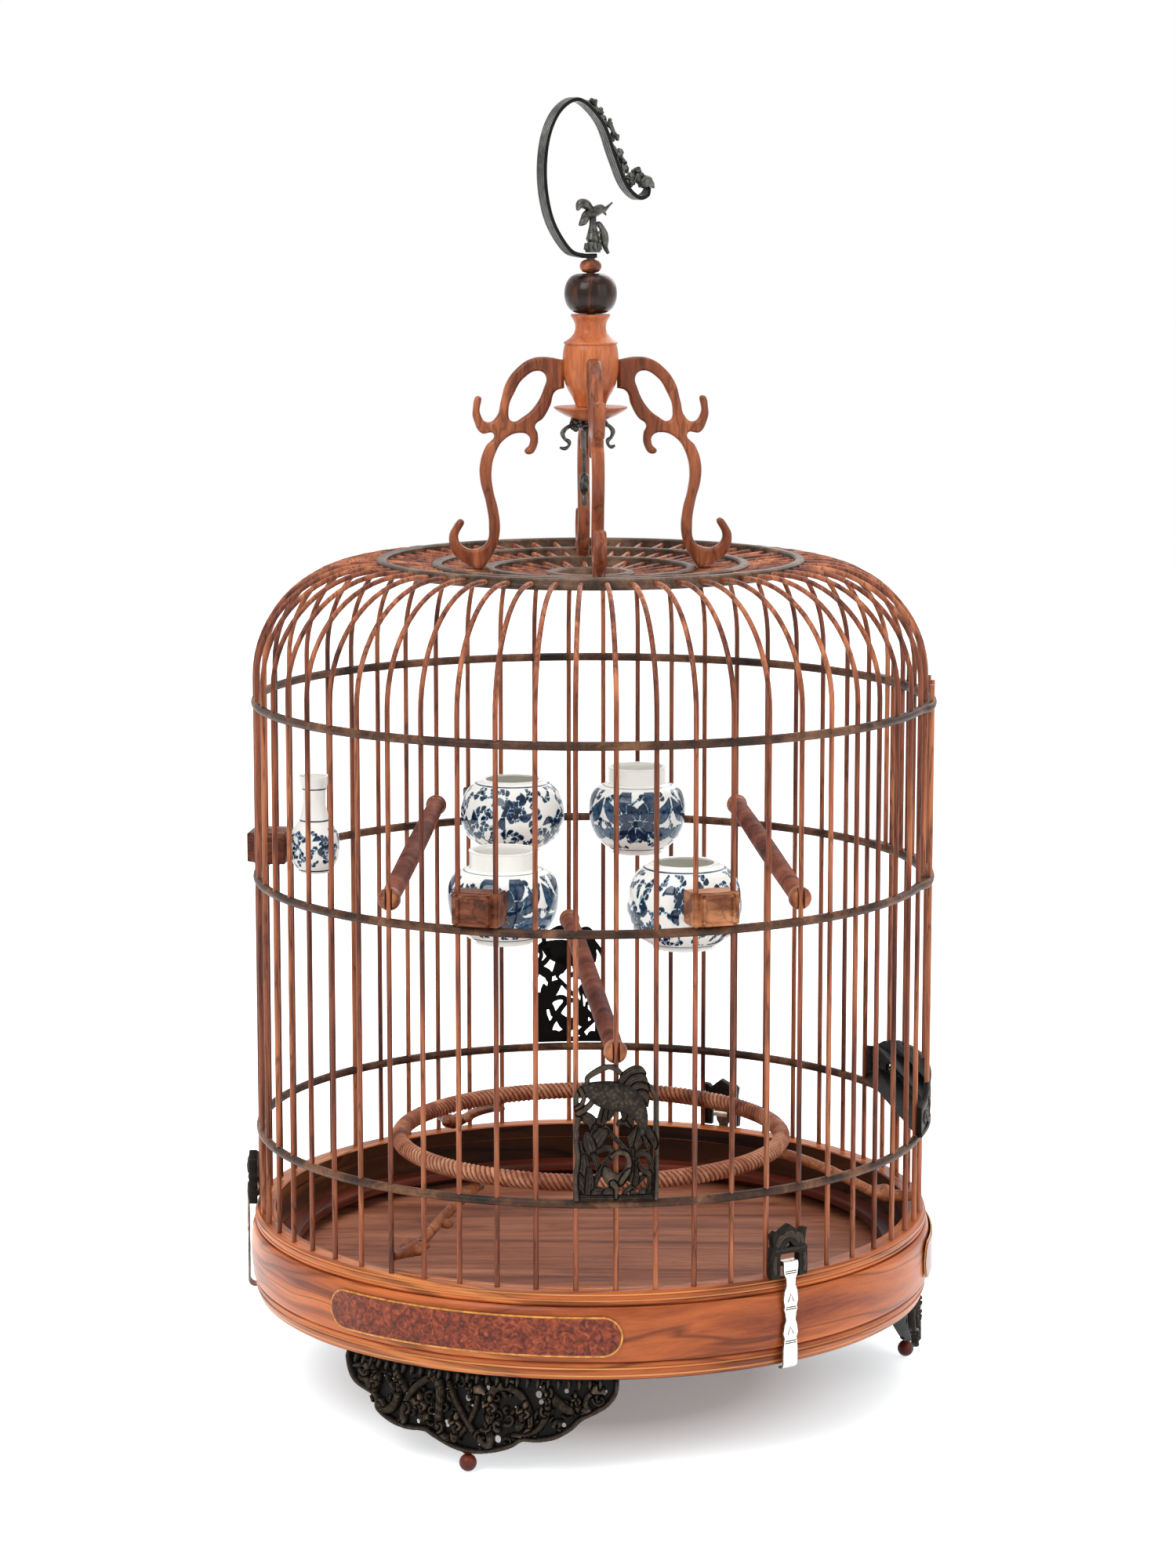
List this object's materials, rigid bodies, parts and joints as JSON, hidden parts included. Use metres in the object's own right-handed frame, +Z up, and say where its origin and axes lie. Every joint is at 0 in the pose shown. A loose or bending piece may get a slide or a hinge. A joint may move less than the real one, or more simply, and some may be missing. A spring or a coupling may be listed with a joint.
{
  "type": "bird cage",
  "caption": "Round wooden song-bird cage with a domed grille, carved hub on S-shaped arms, swivelling hook, sliding door, perches and porcelain pots.",
  "frame": {"origin": "on the cage's axis, in the plane where the ball feet stand", "axes": "+Z up along the cage's axis, -Y toward the front plate, +X toward the sliding door"},
  "size_m": [0.3401, 0.338, 0.6285],
  "materials": {
    "bar_wood": "oiled hardwood",
    "hoop_wood": "dark oiled hardwood",
    "ring_wood": "dark oiled hardwood",
    "drum_wood": "polished hardwood with dark grain",
    "hub_wood": "polished hardwood",
    "bead_wood": "glossy dark hardwood",
    "burl": "polished burl veneer",
    "floor_wood": "matt reddish board",
    "carved_wood": "near-black carved wood",
    "gunmetal": "dark patinated metal",
    "silver": "silver-coloured strip",
    "porcelain": "glazed porcelain, white with blue painting"
  },
  "bodies": {
    "cage": {"lower_hoop": "hoop_wood", "middle_hoop": "hoop_wood", "upper_hoop": "hoop_wood", "roof_ring_a": "ring_wood", "roof_ring_b": "ring_wood", "roof_ring_c": "ring_wood", "roof_ring_d": "ring_wood", "cage_bars": "bar_wood", "base_drum": "drum_wood", "base_moulding": "drum_wood", "floor_ledge": "burl", "floor_board": "floor_wood", "foot_1": "carved_wood", "burl_panel_1": "burl", "clip_block_1": "carved_wood", "foot_2": "carved_wood", "burl_panel_2": "burl", "clip_block_2": "carved_wood", "foot_3": "carved_wood", "burl_panel_3": "burl", "clip_block_3": "carved_wood", "front_plate": "carved_wood", "back_plate": "carved_wood", "hub_saucer": "hub_wood", "hub_urn": "hub_wood", "arm_1": "hub_wood", "arm_2": "hub_wood", "arm_3": "hub_wood", "arm_4": "hub_wood", "front_left_jar": "porcelain", "front_right_bowl": "porcelain", "back_left_bowl": "porcelain", "back_right_jar": "porcelain", "vase": "porcelain", "front_left_jar_holder": "bead_wood", "front_right_bowl_holder": "bead_wood", "back_left_bowl_holder": "bead_wood", "back_right_jar_holder": "bead_wood", "vase_holder": "bead_wood"},
    "hook": {"hook_strap": "gunmetal", "hook_vine": "gunmetal", "hook_figure": "gunmetal", "small_bead": "hub_wood", "large_bead": "bead_wood", "pendant_fitting": "gunmetal", "pendant_rod": "gunmetal"},
    "door": {"sliding_door": "carved_wood"},
    "clip_a": {"clip_1": "silver"},
    "clip_b": {"clip_2": "silver"},
    "clip_c": {"clip_3": "silver"},
    "left_perch": {"perch_left": "bar_wood"},
    "right_perch": {"perch_right": "bar_wood"},
    "centre_perch": {"perch_centre": "bar_wood"},
    "round_perch": {"ring_perch": "bar_wood", "perch_clamp_1": "bead_wood", "perch_clamp_2": "bead_wood", "perch_clamp_3": "bead_wood"}
  },
  "joints": [
    {"name": "hook_swivel", "type": "hinge", "parent": "cage", "child": "hook", "pos_m": [0, 0, 0.5], "axis": [0, 0, 1], "continuous": true},
    {"name": "door_slide", "type": "slide", "parent": "cage", "child": "door", "axis": [0, 0, 1], "range_m": [0, 0.0936]},
    {"name": "clip_a_hinge", "type": "hinge", "parent": "cage", "child": "clip_a", "pos_m": [0.09107, -0.14046, 0.0951], "axis": [-0.8391, -0.5441, 0], "range_deg": [0, 75]},
    {"name": "clip_b_hinge", "type": "hinge", "parent": "cage", "child": "clip_b", "pos_m": [0.07048, 0.15184, 0.0951], "axis": [0.907, -0.421, 0], "range_deg": [0, 75]},
    {"name": "clip_c_hinge", "type": "hinge", "parent": "cage", "child": "clip_c", "pos_m": [-0.16738, -0.0024, 0.0951], "axis": [-0.0143, 0.9999, 0], "range_deg": [0, 75]},
    {"name": "left_perch_slide", "type": "slide", "parent": "cage", "child": "left_perch", "axis": [0, 0, 1], "range_m": [0, 0.065]},
    {"name": "right_perch_slide", "type": "slide", "parent": "cage", "child": "right_perch", "axis": [0, 0, 1], "range_m": [0, 0.065]},
    {"name": "centre_perch_slide", "type": "slide", "parent": "cage", "child": "centre_perch", "axis": [0, 0, 1], "range_m": [0, 0.038]},
    {"name": "round_perch_slide", "type": "slide", "parent": "cage", "child": "round_perch", "axis": [0, 0, 1], "range_m": [0, 0.022]}
  ]
}
